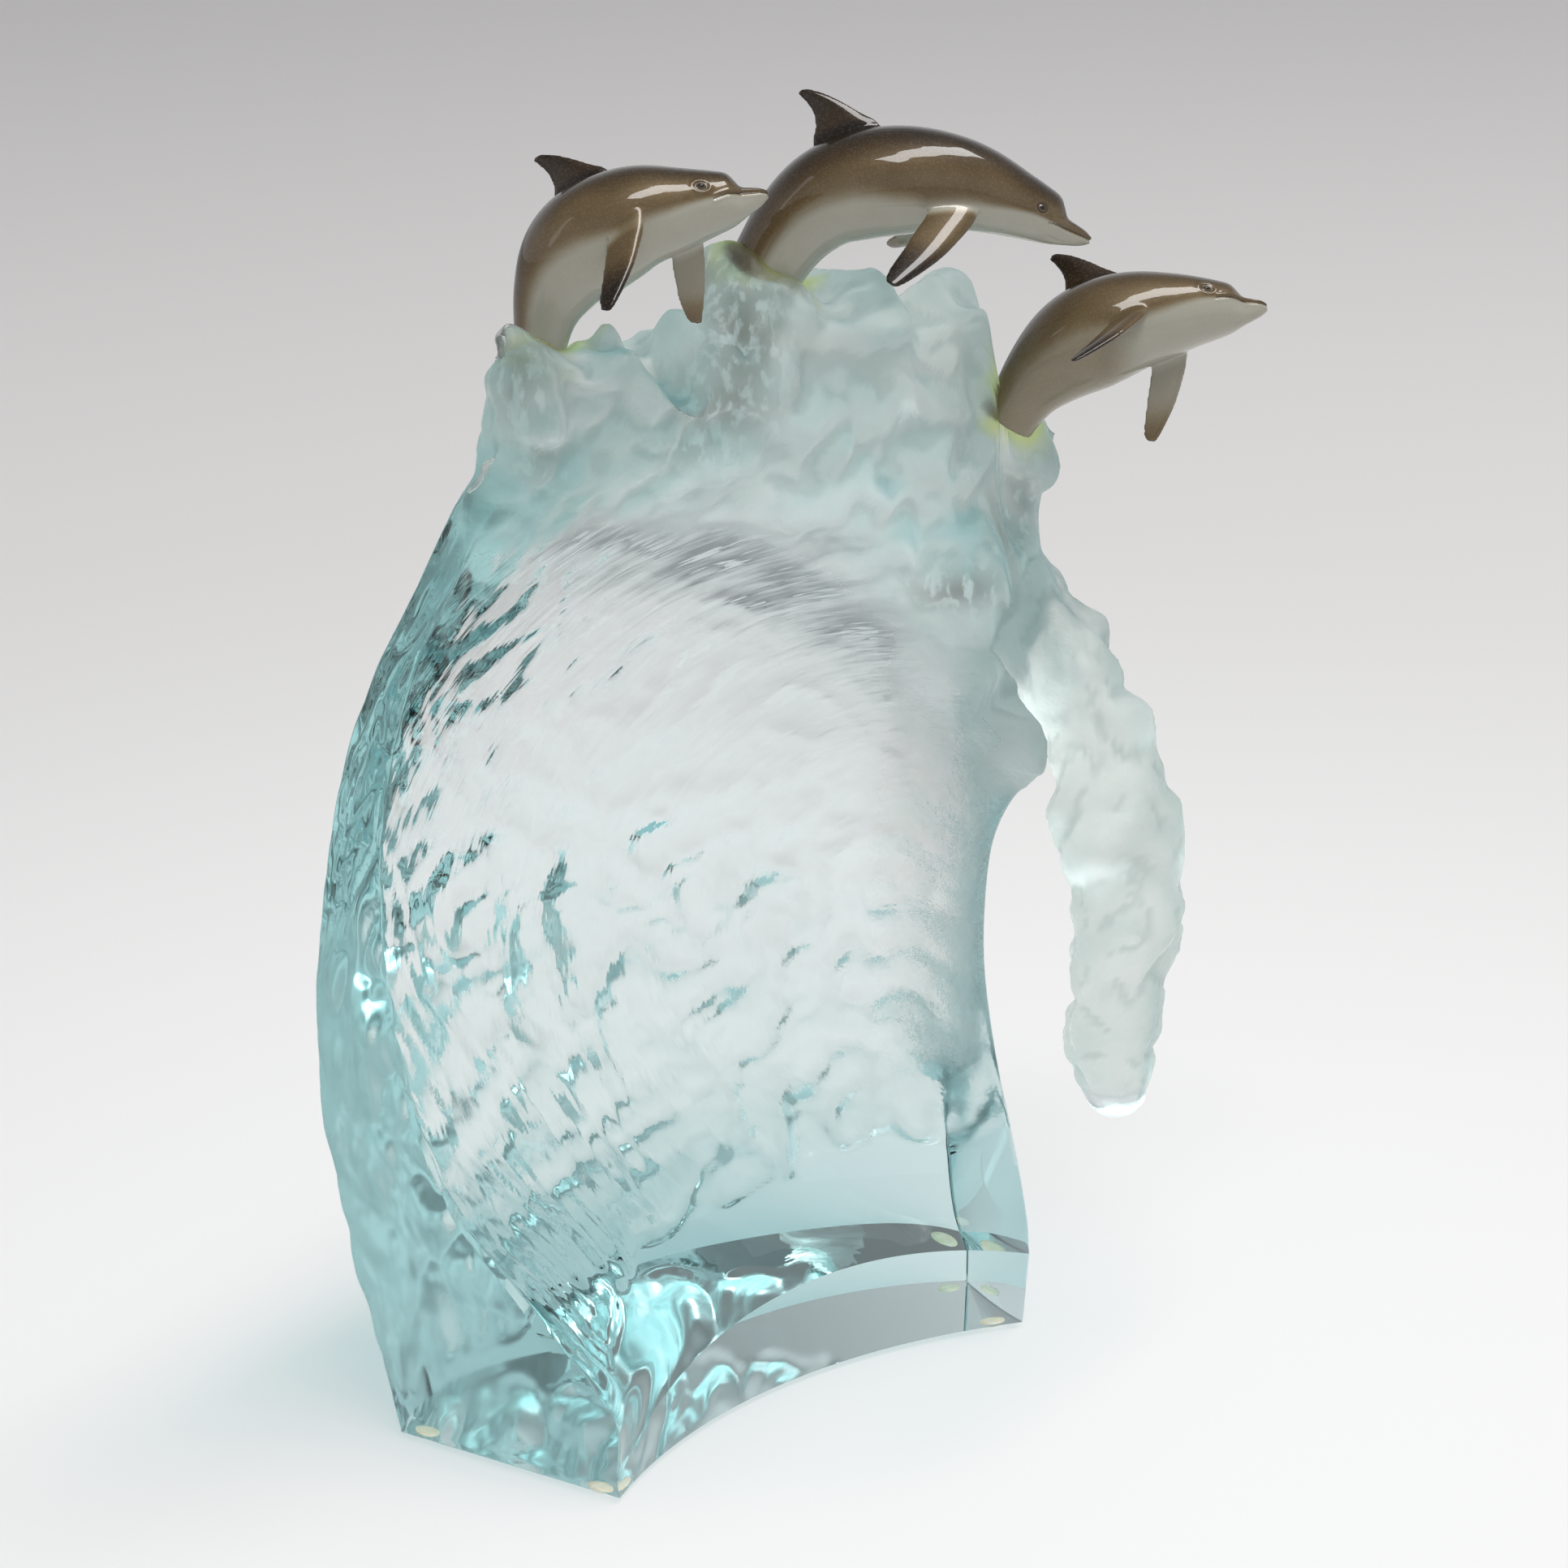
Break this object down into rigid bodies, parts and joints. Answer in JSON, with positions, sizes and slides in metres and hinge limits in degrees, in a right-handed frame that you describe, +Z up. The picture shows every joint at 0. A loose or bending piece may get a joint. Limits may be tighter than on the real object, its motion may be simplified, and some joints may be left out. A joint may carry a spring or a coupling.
{
  "type": "dolphin wave sculpture",
  "caption": "Tabletop sculpture of a clear acrylic breaking wave with a frosted crest and a falling lip, from which painted dolphins leap; it stands on small pads.",
  "frame": {"origin": "middle of the underside of the bounding box, on the table the pads stand on", "axes": "+Z up; the picture looks along +Y, with +X to its right; the lip falls at the +X end"},
  "size_m": [0.2742, 0.18, 0.3947],
  "materials": {
    "clear_acrylic": "polished clear acrylic with a blue-green tint, frosted at the crest",
    "dolphin_paint": "bronze-brown back shading to a silver-grey belly, clear gloss coat",
    "pad_rubber": "cream translucent bumper"
  },
  "bodies": {
    "root": {"acrylic_wave": "clear_acrylic", "dolphin_left": "dolphin_paint", "dolphin_middle": "dolphin_paint", "dolphin_right": "dolphin_paint", "pad_front_left": "pad_rubber", "pad_back_left": "pad_rubber", "pad_front_right": "pad_rubber", "pad_back_right": "pad_rubber"}
  },
  "joints": []
}
